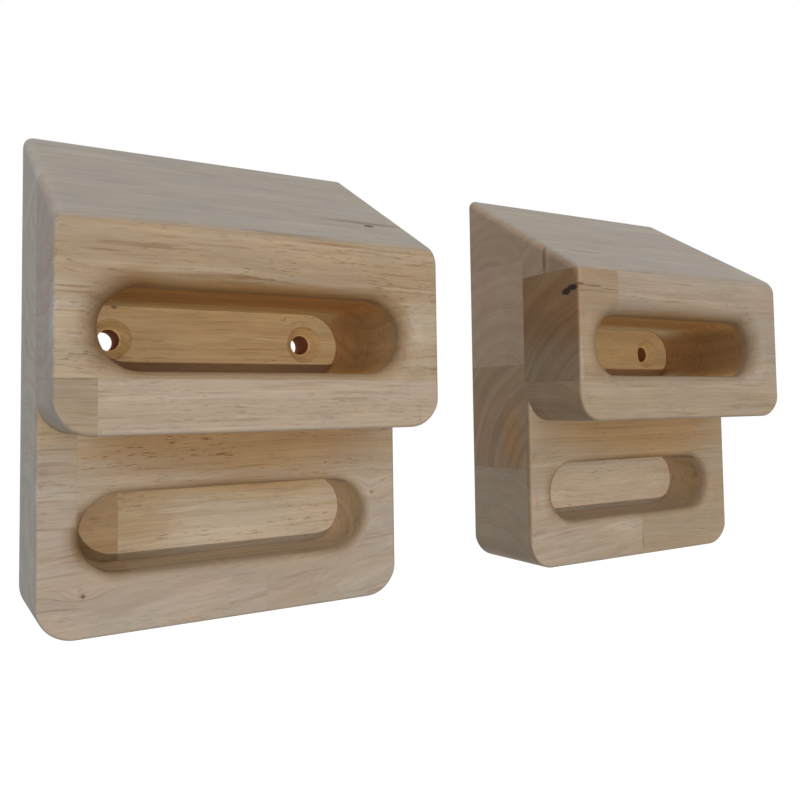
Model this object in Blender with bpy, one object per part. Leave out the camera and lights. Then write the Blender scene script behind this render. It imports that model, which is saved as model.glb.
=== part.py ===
"""Wall hangboard: a pair of two-tier grip blocks, each cut from two boards of rubberwood staves.

X runs along the wall to the right, Y into the wall and Z up, in metres. The origin is on the
wall, midway between the two blocks and level with their screw holes.
"""

import math

import bmesh
import bpy

MM = 0.001

# Block, as planed and glued
BLOCK_WIDTH = 150 * MM
BACK_BOARD = 46 * MM
FRONT_BOARD = 41 * MM
LOWER_TIER_SKIN = 3 * MM
LOWER_FACE_HEIGHT = 75.5 * MM
UPPER_FACE_HEIGHT = 74.3 * MM
SLOPE_ANGLE = math.radians(30)
BLOCK_SPACE = 80 * MM

# Roundings of the outside
FOOT_CORNER_RADIUS = 14 * MM
UPPER_CORNER_RADIUS = 13 * MM
SLOPE_SIDE_RADIUS = 4 * MM
NOSE_RADIUS = 7 * MM
FACE_ARRIS_RADIUS = 1.5 * MM
WALL_ARRIS_RADIUS = 0.8 * MM

# Finger pockets: long slots with round ends, open at the front, midway up their tiers
POCKET_LENGTH = 120 * MM
POCKET_HEIGHT = 30 * MM
WOOD_BEHIND_POCKETS = 20.5 * MM
UPPER_LIP_RADIUS = 8.5 * MM
LOWER_LIP_RADIUS = 4 * MM

# Countersunk screw holes in the back of the upper pocket
SCREW_SPACING = 87 * MM
SCREW_RISE = 1 * MM
SCREW_HOLE_DIAMETER = 9 * MM
SINK_DIAMETER = 17 * MM
SINK_DEPTH = 5 * MM

# Staves of the two boards: their joints keep clear of the screw holes, upper pocket and nose
STAVE_WIDTH = 54 * MM
SCREWS_TO_BACK_JOINT = 9.15 * MM
POCKET_TO_FRONT_JOINT = 2.65 * MM
NOSE_TO_FRONT_JOINT = 0.8 * MM
GLUE_LINE = 0.3 * MM

# Butt joints along the staves, measured from the left side of their block
LEFT_BACK_FOOT_BUTT = 34.5 * MM
LEFT_FRONT_FOOT_BUTT = 88 * MM
LEFT_FRONT_MIDDLE_BUTT = 14 * MM
RIGHT_FRONT_FOOT_BUTT = 79 * MM
RIGHT_FRONT_POCKET_BUTT = 26.5 * MM
RIGHT_NOSE_INNER_THICKNESS = 20.5 * MM

# Worked out from the sizes above
BLOCK_DEPTH = BACK_BOARD + FRONT_BOARD
LOWER_TIER_DEPTH = BACK_BOARD + LOWER_TIER_SKIN
NOSE_HEIGHT = LOWER_FACE_HEIGHT + UPPER_FACE_HEIGHT
BLOCK_HEIGHT = NOSE_HEIGHT + BLOCK_DEPTH * math.tan(SLOPE_ANGLE)
LOWER_POCKET_CENTRE = LOWER_FACE_HEIGHT / 2
UPPER_POCKET_CENTRE = LOWER_FACE_HEIGHT + UPPER_FACE_HEIGHT / 2
SCREW_HEIGHT = UPPER_POCKET_CENTRE + SCREW_RISE
BLOCK_PITCH = BLOCK_WIDTH + BLOCK_SPACE
BACK_POCKET_JOINT = SCREW_HEIGHT - SCREWS_TO_BACK_JOINT
FRONT_POCKET_JOINT = UPPER_POCKET_CENTRE - POCKET_HEIGHT / 2 - POCKET_TO_FRONT_JOINT
FRONT_NOSE_JOINT = NOSE_HEIGHT - NOSE_TO_FRONT_JOINT

# Fineness of the round stretches
CORNER_STEPS = 7
ARRIS_STEPS = 3
NOSE_STEPS = 6
LIP_STEPS = 6
POCKET_END_STEPS = 14
HOLE_STEPS = 28

# How far a cutter or a stave blank stands clear of the wood it works on
OVERRUN = 4 * MM
LIP_RUN_OUT = math.radians(9)

# Wood tones, as linear red, green and blue
PALE = (0.40, 0.33, 0.25)
TAN = (0.42, 0.31, 0.20)
GOLDEN = (0.46, 0.33, 0.19)
BROWN = (0.26, 0.18, 0.11)
GREY = (0.33, 0.29, 0.24)


def clear_scene():
    """Removes whatever objects the scene holds."""
    for obj in list(bpy.data.objects):
        bpy.data.objects.remove(obj, do_unlink=True)


def new_collection(name, parent):
    collection = bpy.data.collections.new(name)
    parent.children.link(collection)
    return collection


def wood(name, colour):
    """A planed, unlacquered wood finish."""
    material = bpy.data.materials.new(name)
    material.use_nodes = True
    shader = material.node_tree.nodes["Principled BSDF"]
    shader.inputs["Base Color"].default_value = (*colour, 1)
    shader.inputs["Roughness"].default_value = 0.6
    shader.inputs["Metallic"].default_value = 0
    material.diffuse_color = (*colour, 1)
    return material


def loft(name, sections):
    """A closed mesh over a row of outlines that all have the same number of points."""
    bm = bmesh.new()
    rings = [[bm.verts.new(point) for point in section] for section in sections]
    for near, far in zip(rings, rings[1:]):
        for index in range(len(near)):
            after = (index + 1) % len(near)
            bm.faces.new((near[index], near[after], far[after], far[index]))
    bm.faces.new(reversed(rings[0]))
    bm.faces.new(rings[-1])
    bmesh.ops.recalc_face_normals(bm, faces=bm.faces)
    mesh = bpy.data.meshes.new(name)
    bm.to_mesh(mesh)
    bm.free()
    mesh.shade_smooth()
    mesh.set_sharp_from_angle(angle=math.radians(30))
    return mesh


def drawn_in(radius, distance):
    """How far a rounding of this radius draws a face in, at a distance from the side."""
    if distance >= radius:
        return 0
    return radius - math.sqrt(radius**2 - (radius - distance) ** 2)


def meeting_point(line_a, line_b):
    """Where two lines meet, each given by its outward normal and its distance along it."""
    (ay, az), a = line_a
    (by, bz), b = line_b
    cross = ay * bz - az * by
    return ((a * bz - az * b) / cross, (ay * b - a * by) / cross)


def rounded_corner(line_a, line_b, radius, steps):
    """Points of the arc that rounds the corner between two lines, from the first to the second."""
    if not radius:
        return [meeting_point(line_a, line_b)]
    centre = meeting_point((line_a[0], line_a[1] - radius), (line_b[0], line_b[1] - radius))
    start = math.atan2(line_a[0][1], line_a[0][0])
    turn = math.atan2(line_b[0][1], line_b[0][0]) - start
    turn = (turn + math.pi) % math.tau - math.pi
    angles = [start + turn * step / steps for step in range(steps + 1)]
    return [(centre[0] + radius * math.cos(a), centre[1] + radius * math.sin(a)) for a in angles]


def block_section(distance):
    """The block's outline in the YZ plane, at a distance in from its side."""
    slope = (-math.sin(SLOPE_ANGLE), math.cos(SLOPE_ANGLE))
    faces = [
        ((0, -1), 0, FOOT_CORNER_RADIUS),
        ((-1, 0), LOWER_TIER_DEPTH, FACE_ARRIS_RADIUS),
        ((0, -1), -LOWER_FACE_HEIGHT, UPPER_CORNER_RADIUS),
        ((-1, 0), BLOCK_DEPTH, FACE_ARRIS_RADIUS),
        (slope, BLOCK_HEIGHT * slope[1], SLOPE_SIDE_RADIUS),
        ((1, 0), 0, WALL_ARRIS_RADIUS),
    ]
    corners = [
        (FACE_ARRIS_RADIUS, ARRIS_STEPS),
        (0, 0),
        (FACE_ARRIS_RADIUS, ARRIS_STEPS),
        (NOSE_RADIUS, NOSE_STEPS),
        (WALL_ARRIS_RADIUS, ARRIS_STEPS),
        (WALL_ARRIS_RADIUS, ARRIS_STEPS),
    ]
    lines = [(normal, reach - drawn_in(radius, distance)) for normal, reach, radius in faces]
    outline = []
    for index, (radius, steps) in enumerate(corners):
        following = lines[(index + 1) % len(lines)]
        outline += rounded_corner(lines[index], following, radius, steps)
    return outline


def side_distances():
    """Distances in from a side at which the outside's roundings need a section."""
    distances = {0}
    for radius, steps in (
        (FACE_ARRIS_RADIUS, ARRIS_STEPS),
        (SLOPE_SIDE_RADIUS, ARRIS_STEPS),
        (max(FOOT_CORNER_RADIUS, UPPER_CORNER_RADIUS), CORNER_STEPS),
    ):
        quarter = math.pi / 2 / steps
        distances |= {radius * (1 - math.cos(quarter * step)) for step in range(1, steps + 1)}
    return sorted(distances)


def block_envelope():
    """The finished outside of one block, solid, from its left side to its right."""
    distances = side_distances()
    sections = [[(x, y, z) for y, z in block_section(x)] for x in distances]
    for x in reversed(distances):
        sections.append([(BLOCK_WIDTH - x, y, z) for y, z in block_section(x)])
    return loft("block_envelope", sections)


def slot_outline(centre_height, grown, y):
    """A slot's outline with round ends, grown outwards by an amount, in the plane at y."""
    radius = POCKET_HEIGHT / 2
    reach = POCKET_LENGTH / 2 - radius
    points = []
    for side in (1, -1):
        for step in range(POCKET_END_STEPS + 1):
            angle = math.pi * (step / POCKET_END_STEPS - 0.5)
            x = BLOCK_WIDTH / 2 + side * (reach + (radius + grown) * math.cos(angle))
            z = centre_height + side * (radius + grown) * math.sin(angle)
            points.append((x, y, z))
    return points


def pocket_cutter(name, centre_height, front_depth, lip_radius):
    """A pocket with an even flare at its mouth, from its back wall to just past the front."""
    sections = [slot_outline(centre_height, 0, -WOOD_BEHIND_POCKETS)]
    last_angle = math.pi / 2 - LIP_RUN_OUT
    for step in range(LIP_STEPS + 1):
        angle = last_angle * step / LIP_STEPS
        grown = lip_radius * (1 - math.cos(angle))
        y = lip_radius * (1 - math.sin(angle)) - front_depth
        sections.append(slot_outline(centre_height, grown, y))
    grown += OVERRUN
    y -= OVERRUN * math.tan(LIP_RUN_OUT)
    sections.append(slot_outline(centre_height, grown, y))
    return loft(name, sections)


def circle_outline(x, z, radius, y):
    angles = [math.tau * step / HOLE_STEPS for step in range(HOLE_STEPS)]
    return [(x + radius * math.cos(a), y, z + radius * math.sin(a)) for a in angles]


def screw_hole_cutter(name, x):
    """A screw hole right through the wood behind the pocket, with its countersink."""
    hole = SCREW_HOLE_DIAMETER / 2
    flare = (SINK_DIAMETER / 2 - hole) / SINK_DEPTH
    rim = SINK_DEPTH - WOOD_BEHIND_POCKETS
    over = SINK_DEPTH + OVERRUN / 2
    sections = [
        circle_outline(x, SCREW_HEIGHT, hole + flare * over, rim - over),
        circle_outline(x, SCREW_HEIGHT, hole, rim),
        circle_outline(x, SCREW_HEIGHT, hole, OVERRUN),
    ]
    return loft(name, sections)


def rows_of_staves(pocket_joint, top_joint):
    """Lower and upper edge of each row of staves, from the joints below and above the pocket row."""
    foot_joint = pocket_joint - STAVE_WIDTH
    return {
        "foot": (None, foot_joint),
        "middle": (foot_joint, pocket_joint),
        "pocket": (pocket_joint, top_joint),
        "top": (top_joint, None),
    }


def stave_list():
    """Every stave: its name, its edges along X, Y and Z, and its tone.

    An edge is a place in its block's own frame, or None where the stave runs out to the
    outside of the block. The front board's two lower rows reach down over the lower tier,
    where only a skin of them is left.
    """
    back = rows_of_staves(BACK_POCKET_JOINT, BACK_POCKET_JOINT + STAVE_WIDTH)
    front = rows_of_staves(FRONT_POCKET_JOINT, FRONT_NOSE_JOINT)
    in_back = (-BACK_BOARD, None)
    in_front = (None, -BACK_BOARD)
    nose_split = -BACK_BOARD - RIGHT_NOSE_INNER_THICKNESS
    in_nose_inner = (nose_split, -BACK_BOARD)
    in_nose = (None, nose_split)
    whole = (None, None)
    return {
        "left": [
            ("back_foot_stave_end", (None, LEFT_BACK_FOOT_BUTT), in_back, back["foot"], GOLDEN),
            ("back_foot_stave", (LEFT_BACK_FOOT_BUTT, None), in_back, back["foot"], PALE),
            ("back_middle_stave", whole, in_back, back["middle"], TAN),
            ("back_pocket_stave", whole, in_back, back["pocket"], GOLDEN),
            ("back_ridge_stave", whole, in_back, back["top"], GREY),
            ("front_foot_stave_end", (None, LEFT_FRONT_FOOT_BUTT), in_front, front["foot"], PALE),
            ("front_foot_stave", (LEFT_FRONT_FOOT_BUTT, None), in_front, front["foot"], PALE),
            ("front_middle_stave_end", (None, LEFT_FRONT_MIDDLE_BUTT), in_front, front["middle"], TAN),
            ("front_middle_stave", (LEFT_FRONT_MIDDLE_BUTT, None), in_front, front["middle"], PALE),
            ("front_pocket_stave", whole, in_front, front["pocket"], TAN),
            ("front_nose_stave", whole, in_front, front["top"], GREY),
        ],
        "right": [
            ("back_foot_stave", whole, in_back, back["foot"], GREY),
            ("back_middle_stave", whole, in_back, back["middle"], TAN),
            ("back_pocket_stave", whole, in_back, back["pocket"], PALE),
            ("back_ridge_stave", whole, in_back, back["top"], GREY),
            ("front_foot_stave_end", (None, RIGHT_FRONT_FOOT_BUTT), in_front, front["foot"], PALE),
            ("front_foot_stave", (RIGHT_FRONT_FOOT_BUTT, None), in_front, front["foot"], TAN),
            ("front_middle_stave", whole, in_front, front["middle"], PALE),
            ("front_pocket_stave_end", (None, RIGHT_FRONT_POCKET_BUTT), in_front, front["pocket"], BROWN),
            ("front_pocket_stave", (RIGHT_FRONT_POCKET_BUTT, None), in_front, front["pocket"], PALE),
            ("front_nose_inner_stave", whole, in_nose_inner, front["top"], GREY),
            ("front_nose_stave", whole, in_nose, front["top"], GREY),
        ],
    }


def blank_limits(edges, lowest, highest):
    """Where a stave's blank starts and ends: half a glue line off a joint, or past the outside."""
    low, high = edges
    start = lowest - OVERRUN if low is None else low + GLUE_LINE / 2
    end = highest + OVERRUN if high is None else high - GLUE_LINE / 2
    return start, end


def stave_blank(name, along_x, along_y, along_z):
    """The square-edged piece of wood that a stave is shaped from."""
    limits = [
        blank_limits(along_x, 0, BLOCK_WIDTH),
        blank_limits(along_y, -BLOCK_DEPTH, 0),
        blank_limits(along_z, 0, BLOCK_HEIGHT),
    ]
    bm = bmesh.new()
    bmesh.ops.create_cube(bm, size=1)
    for vert in bm.verts:
        for axis, (start, end) in enumerate(limits):
            vert.co[axis] = end if vert.co[axis] > 0 else start
    mesh = bpy.data.meshes.new(name)
    bm.to_mesh(mesh)
    bm.free()
    return mesh


def place(name, mesh, parent, collection):
    """An object in its block's frame."""
    obj = bpy.data.objects.new(name, mesh)
    obj.parent = parent
    collection.objects.link(obj)
    return obj


def place_cutter(name, mesh, parent, collection):
    cutter = place(name, mesh, parent, collection)
    cutter.hide_render = True
    cutter.display_type = "WIRE"
    return cutter


def shape_stave(stave, envelope, hollows):
    """Cuts a blank to the block's outside, then to the pockets and screw holes."""
    outside = stave.modifiers.new("outside", "BOOLEAN")
    outside.operation = "INTERSECT"
    outside.solver = "EXACT"
    outside.object = envelope
    inside = stave.modifiers.new("pockets_and_holes", "BOOLEAN")
    inside.operation = "DIFFERENCE"
    inside.solver = "EXACT"
    inside.operand_type = "COLLECTION"
    inside.collection = hollows


def build_hollows(side, frame, cutters):
    """The cutters for one block's pockets and screw holes."""
    hollows = new_collection(side + "_hollows", cutters)
    upper = pocket_cutter("upper_pocket", UPPER_POCKET_CENTRE, BLOCK_DEPTH, UPPER_LIP_RADIUS)
    lower = pocket_cutter("lower_pocket", LOWER_POCKET_CENTRE, LOWER_TIER_DEPTH, LOWER_LIP_RADIUS)
    place_cutter(side + "_upper_pocket", upper, frame, hollows)
    place_cutter(side + "_lower_pocket", lower, frame, hollows)
    for hand, direction in (("left", -1), ("right", 1)):
        x = BLOCK_WIDTH / 2 + direction * SCREW_SPACING / 2
        hole = screw_hole_cutter(hand + "_screw_hole", x)
        place_cutter(side + "_block_" + hand + "_screw_hole", hole, frame, hollows)
    return hollows


def build_block(side, left_edge, staves, parts, cutters):
    """One block, its left side at left_edge and its screw holes level with the origin."""
    frame = bpy.data.objects.new(side + "_block", None)
    frame.location = (left_edge, 0, -SCREW_HEIGHT)
    parts.objects.link(frame)
    envelope = place_cutter(side + "_envelope", block_envelope(), frame, cutters)
    hollows = build_hollows(side, frame, cutters)
    for piece, along_x, along_y, along_z, tone in staves:
        name = side + "_" + piece
        stave = place(name, stave_blank(name, along_x, along_y, along_z), frame, parts)
        stave.data.materials.append(wood(name, tone))
        shape_stave(stave, envelope, hollows)


def main():
    clear_scene()
    root = bpy.context.scene.collection
    parts = new_collection("hangboard", root)
    cutters = new_collection("hangboard_cutters", root)
    first_edge = -(BLOCK_PITCH + BLOCK_WIDTH) / 2
    for index, (side, staves) in enumerate(stave_list().items()):
        build_block(side, first_edge + index * BLOCK_PITCH, staves, parts, cutters)


main()
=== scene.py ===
"""The looks of a wall hangboard: two grip blocks glued up from rubberwood staves.

Every stave of the frame is cut again from finer curves, so that lips and arrises are smooth and
the glue lines close up, and each gets its own wood: tone, growth rings, grain, pores and marks.
Some of the tones and marks are painted light and shade: in the pockets, on their lips, in the
countersinks and screw holes, and under the upper tier.
Places inside a block are in millimetres from its left side, from the wall (towards the front is
negative) and from its foot.
"""

import math

import bmesh
import bpy
from mathutils import Matrix, Vector


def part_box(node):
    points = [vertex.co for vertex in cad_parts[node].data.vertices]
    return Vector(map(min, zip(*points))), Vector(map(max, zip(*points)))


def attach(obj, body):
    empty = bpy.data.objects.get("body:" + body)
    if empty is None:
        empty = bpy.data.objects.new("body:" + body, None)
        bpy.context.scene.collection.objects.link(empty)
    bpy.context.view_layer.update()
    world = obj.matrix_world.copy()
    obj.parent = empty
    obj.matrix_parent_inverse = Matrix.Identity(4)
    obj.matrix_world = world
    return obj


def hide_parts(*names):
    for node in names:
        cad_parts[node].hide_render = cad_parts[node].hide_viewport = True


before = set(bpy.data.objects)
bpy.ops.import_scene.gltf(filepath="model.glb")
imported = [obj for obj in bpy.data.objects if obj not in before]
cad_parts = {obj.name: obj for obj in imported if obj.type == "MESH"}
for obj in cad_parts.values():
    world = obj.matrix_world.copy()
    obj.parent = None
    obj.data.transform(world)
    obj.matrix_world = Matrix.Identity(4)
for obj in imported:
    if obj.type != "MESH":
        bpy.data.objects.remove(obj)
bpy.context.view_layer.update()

MM = 0.001

# Shape of a block, as in the frame's own source
SLOPE_ANGLE = math.radians(30)
LOWER_FACE_HEIGHT = 75.5 * MM
UPPER_FACE_HEIGHT = 74.3 * MM
FOOT_CORNER_RADIUS = 14 * MM
UPPER_CORNER_RADIUS = 13 * MM
SLOPE_SIDE_RADIUS = 4 * MM
NOSE_RADIUS = 7 * MM
FACE_ARRIS_RADIUS = 1.5 * MM
WALL_ARRIS_RADIUS = 0.8 * MM
POCKET_LENGTH = 120 * MM
POCKET_HEIGHT = 30 * MM
WOOD_BEHIND_POCKETS = 20.5 * MM
UPPER_LIP_RADIUS = 8.5 * MM
LOWER_LIP_RADIUS = 4 * MM
SCREW_SPACING = 87 * MM
SCREW_RISE = 1 * MM
SCREW_HOLE_DIAMETER = 9 * MM
SINK_DIAMETER = 17 * MM
SINK_DEPTH = 5 * MM
FRAME_GLUE_LINE = 0.3 * MM

# The glue lines as they show: hairlines
GLUE_LINE = 0.03 * MM

# Fineness of the round stretches
CORNER_STEPS = 18
ARRIS_STEPS = 5
NOSE_STEPS = 16
LIP_STEPS = 16
POCKET_END_STEPS = 40
HOLE_STEPS = 72
OVERRUN = 4 * MM
LIP_RUN_OUT = math.radians(6)
SHARP_ANGLE = math.radians(24)

# The camera: where the photograph was taken from, in metres, degrees and the picture's pixels
CAMERA_PLACE = (-0.2300574, -0.3736612, -0.0293389)
CAMERA_YAW = 31.5777
CAMERA_PITCH = 2.9989
CAMERA_ROLL = -0.8882
PICTURE_SIDE = 800
FOCAL_LENGTH_PX = 819.743
LENS_CENTRE_PX = (410.442, 362.568)
SENSOR_WIDTH_MM = 36
NEAR_CLIP = 0.01

# Light: strengths, tints, spreads, and angles off the front, the back and the level
WHITE = (1.0, 1.0, 1.0)
FRONT_LIGHT_STRENGTH = 1.4
FRONT_LIGHT_TINT = (1.0, 0.96, 0.89)
FRONT_LIGHT_SPREAD = math.radians(0.6)
FRONT_LIGHT_FROM_LEFT = 8
FRONT_LIGHT_FROM_BELOW = 6.4
FILL_LIGHT_STRENGTH = 0.5
FILL_LIGHT_SPREAD = math.radians(75)
FILL_LIGHT_FROM_ABOVE = 12
BACK_LIGHT_STRENGTH = 2.0
BACK_LIGHT_SPREAD = math.radians(40)
BACK_LIGHT_FROM_RIGHT = 53
ROOM_LIGHT_FROM = (-0.584, -0.202, 0.787)
ROOM_LIGHT_LEVEL = 0.31
ROOM_LIGHT_SWING = 0.668
ROOM_LIGHT_LEAST = 0.08
ROOM_LIGHT_TINT = (0.94, 1.0, 1.09)
FLOOR_HEIGHT = -0.9
FLOOR_HALF_WIDTH = 15.0
FLOOR_IN_FRONT = 5.0
FLOOR_BEHIND = 25.0
FLOOR_TONE = (0.3, 0.3, 0.3)
FLOOR_GLOW = (0.82, 0.82, 0.82)


class Block:
    """One block's place, depth and heights, read from the frame's staves."""

    def __init__(self, side):
        boxes = [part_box(name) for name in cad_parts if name.startswith(side + "_")]
        left = min(low.x for low, high in boxes)
        right = max(high.x for low, high in boxes)
        foot = min(low.z for low, high in boxes)
        self.side = side
        self.corner = Vector((left, 0, foot))
        self.width = right - left
        self.depth = -min(low.y for low, high in boxes)
        self.lower_depth = -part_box(side + "_front_foot_stave")[0].y
        nose_height = LOWER_FACE_HEIGHT + UPPER_FACE_HEIGHT
        self.height = nose_height + self.depth * math.tan(SLOPE_ANGLE)
        self.pocket_heights = {
            "lower": LOWER_FACE_HEIGHT / 2,
            "upper": LOWER_FACE_HEIGHT + UPPER_FACE_HEIGHT / 2,
        }
        self.lip_starts = {
            "lower": self.lower_depth - LOWER_LIP_RADIUS,
            "upper": self.depth - UPPER_LIP_RADIUS,
        }


# Shapes


def loft(name, sections):
    """A closed mesh over a row of outlines that all have the same number of points."""
    bm = bmesh.new()
    rings = [[bm.verts.new(point) for point in section] for section in sections]
    for near, far in zip(rings, rings[1:]):
        for index in range(len(near)):
            after = (index + 1) % len(near)
            bm.faces.new((near[index], near[after], far[after], far[index]))
    bm.faces.new(reversed(rings[0]))
    bm.faces.new(rings[-1])
    bmesh.ops.recalc_face_normals(bm, faces=bm.faces)
    mesh = bpy.data.meshes.new(name)
    bm.to_mesh(mesh)
    bm.free()
    return mesh


def drawn_in(radius, distance):
    """How far a rounding of this radius draws a face in, at a distance from the side."""
    if distance >= radius:
        return 0
    return radius - math.sqrt(radius**2 - (radius - distance) ** 2)


def meeting_point(line_a, line_b):
    """Where two lines meet, each given by its outward normal and its distance along it."""
    (ay, az), a = line_a
    (by, bz), b = line_b
    cross = ay * bz - az * by
    return ((a * bz - az * b) / cross, (ay * b - a * by) / cross)


def rounded_corner(line_a, line_b, radius, steps):
    """Points of the arc that rounds the corner between two lines, from the first to the second."""
    if not radius:
        return [meeting_point(line_a, line_b)]
    centre = meeting_point((line_a[0], line_a[1] - radius), (line_b[0], line_b[1] - radius))
    start = math.atan2(line_a[0][1], line_a[0][0])
    turn = math.atan2(line_b[0][1], line_b[0][0]) - start
    turn = (turn + math.pi) % math.tau - math.pi
    angles = [start + turn * step / steps for step in range(steps + 1)]
    return [(centre[0] + radius * math.cos(a), centre[1] + radius * math.sin(a)) for a in angles]


def block_section(block, distance):
    """The block's outline in the YZ plane, at a distance in from its side."""
    slope = (-math.sin(SLOPE_ANGLE), math.cos(SLOPE_ANGLE))
    faces = [
        ((0, -1), 0, FOOT_CORNER_RADIUS),
        ((-1, 0), block.lower_depth, FACE_ARRIS_RADIUS),
        ((0, -1), -LOWER_FACE_HEIGHT, UPPER_CORNER_RADIUS),
        ((-1, 0), block.depth, FACE_ARRIS_RADIUS),
        (slope, block.height * slope[1], SLOPE_SIDE_RADIUS),
        ((1, 0), 0, WALL_ARRIS_RADIUS),
    ]
    corners = [
        (FACE_ARRIS_RADIUS, ARRIS_STEPS),
        (0, 0),
        (FACE_ARRIS_RADIUS, ARRIS_STEPS),
        (NOSE_RADIUS, NOSE_STEPS),
        (WALL_ARRIS_RADIUS, ARRIS_STEPS),
        (WALL_ARRIS_RADIUS, ARRIS_STEPS),
    ]
    lines = [(normal, reach - drawn_in(radius, distance)) for normal, reach, radius in faces]
    outline = []
    for index, (radius, steps) in enumerate(corners):
        following = lines[(index + 1) % len(lines)]
        outline += rounded_corner(lines[index], following, radius, steps)
    return outline


def side_distances():
    """Distances in from a side at which the outside's roundings need a section."""
    distances = {0}
    for radius, steps in (
        (FACE_ARRIS_RADIUS, ARRIS_STEPS),
        (SLOPE_SIDE_RADIUS, ARRIS_STEPS),
        (max(FOOT_CORNER_RADIUS, UPPER_CORNER_RADIUS), CORNER_STEPS),
    ):
        quarter = math.pi / 2 / steps
        distances |= {radius * (1 - math.cos(quarter * step)) for step in range(1, steps + 1)}
    return sorted(distances)


def block_envelope(block):
    """The finished outside of one block, solid, from its left side to its right."""
    distances = side_distances()
    places = [(x, x) for x in distances] + [(block.width - x, x) for x in reversed(distances)]
    sections = []
    for along, distance in places:
        outline = block_section(block, distance)
        sections.append([block.corner + Vector((along, y, z)) for y, z in outline])
    return loft("block_envelope", sections)


def slot_outline(block, centre_height, grown, y):
    """A slot's outline with round ends, grown outwards by an amount, in the plane at y."""
    radius = POCKET_HEIGHT / 2
    reach = POCKET_LENGTH / 2 - radius
    points = []
    for side in (1, -1):
        for step in range(POCKET_END_STEPS + 1):
            angle = math.pi * (step / POCKET_END_STEPS - 0.5)
            x = block.width / 2 + side * (reach + (radius + grown) * math.cos(angle))
            z = centre_height + side * (radius + grown) * math.sin(angle)
            points.append(block.corner + Vector((x, y, z)))
    return points


def pocket_cutter(block, centre_height, front_depth, lip_radius):
    """A pocket with an even flare at its mouth, from its back wall to just past the front."""
    sections = [slot_outline(block, centre_height, 0, -WOOD_BEHIND_POCKETS)]
    last_angle = math.pi / 2 - LIP_RUN_OUT
    for step in range(LIP_STEPS + 1):
        angle = last_angle * step / LIP_STEPS
        grown = lip_radius * (1 - math.cos(angle))
        y = lip_radius * (1 - math.sin(angle)) - front_depth
        sections.append(slot_outline(block, centre_height, grown, y))
    grown += OVERRUN
    y -= OVERRUN * math.tan(LIP_RUN_OUT)
    sections.append(slot_outline(block, centre_height, grown, y))
    return loft("pocket_cutter", sections)


def circle_outline(centre, radius, y):
    angles = [math.tau * step / HOLE_STEPS for step in range(HOLE_STEPS)]
    return [(centre.x + radius * math.cos(a), y, centre.z + radius * math.sin(a)) for a in angles]


def screw_hole_cutter(centre):
    """A screw hole right through the wood behind the pocket, with its countersink."""
    hole = SCREW_HOLE_DIAMETER / 2
    flare = (SINK_DIAMETER / 2 - hole) / SINK_DEPTH
    rim = SINK_DEPTH - WOOD_BEHIND_POCKETS
    over = SINK_DEPTH + OVERRUN / 2
    sections = [
        circle_outline(centre, hole + flare * over, rim - over),
        circle_outline(centre, hole, rim),
        circle_outline(centre, hole, OVERRUN),
    ]
    return loft("screw_hole_cutter", sections)


def hidden_tool(mesh):
    """An object that only cuts: it is removed once the staves are shaped."""
    tool = bpy.data.objects.new(mesh.name, mesh)
    bpy.context.scene.collection.objects.link(tool)
    return tool


def block_tools(block):
    """The block's outside and the cutters for its pockets and screw holes."""
    heights = block.pocket_heights
    hollows = [
        pocket_cutter(block, heights["upper"], block.depth, UPPER_LIP_RADIUS),
        pocket_cutter(block, heights["lower"], block.lower_depth, LOWER_LIP_RADIUS),
    ]
    for direction in (-1, 1):
        along = block.width / 2 + direction * SCREW_SPACING / 2
        place = block.corner + Vector((along, 0, heights["upper"] + SCREW_RISE))
        hollows.append(screw_hole_cutter(place))
    return hidden_tool(block_envelope(block)), [hidden_tool(mesh) for mesh in hollows]


def cut(stave, tool, operation):
    step = stave.modifiers.new(tool.name, "BOOLEAN")
    step.operation = operation
    step.solver = "MANIFOLD"
    step.object = tool


def grown_box(name, low, high, by):
    bm = bmesh.new()
    bmesh.ops.create_cube(bm, size=1)
    for vert in bm.verts:
        for axis in range(3):
            vert.co[axis] = high[axis] + by if vert.co[axis] > 0 else low[axis] - by
    mesh = bpy.data.meshes.new(name)
    bm.to_mesh(mesh)
    bm.free()
    return mesh


def settle_modifiers(obj):
    """Makes the shape that the modifiers give the object's own mesh."""
    graph = bpy.context.evaluated_depsgraph_get()
    settled = bpy.data.meshes.new_from_object(obj.evaluated_get(graph), depsgraph=graph)
    obj.modifiers.clear()
    obj.data = settled


def fine_stave(node, envelope, hollows):
    """The stave cut again from a blank that closes its glue lines up to hairlines."""
    low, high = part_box(node)
    mesh = grown_box(node + "_wood", low, high, (FRAME_GLUE_LINE - GLUE_LINE) / 2)
    stave = bpy.data.objects.new(node + "_wood", mesh)
    bpy.context.scene.collection.objects.link(stave)
    cut(stave, envelope, "INTERSECT")
    for tool in hollows:
        cut(stave, tool, "DIFFERENCE")
    settle_modifiers(stave)
    stave.data.shade_smooth()
    stave.data.set_sharp_from_angle(angle=SHARP_ANGLE)
    weigh = stave.modifiers.new("even_shading", "WEIGHTED_NORMAL")
    weigh.keep_sharp = True
    settle_modifiers(stave)
    return stave


# Shader tools

# The sockets of a Mix node that mixes colours
MIX_SHARE = 0
MIX_FIRST = 6
MIX_SECOND = 7
MIX_RESULT = 2


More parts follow.
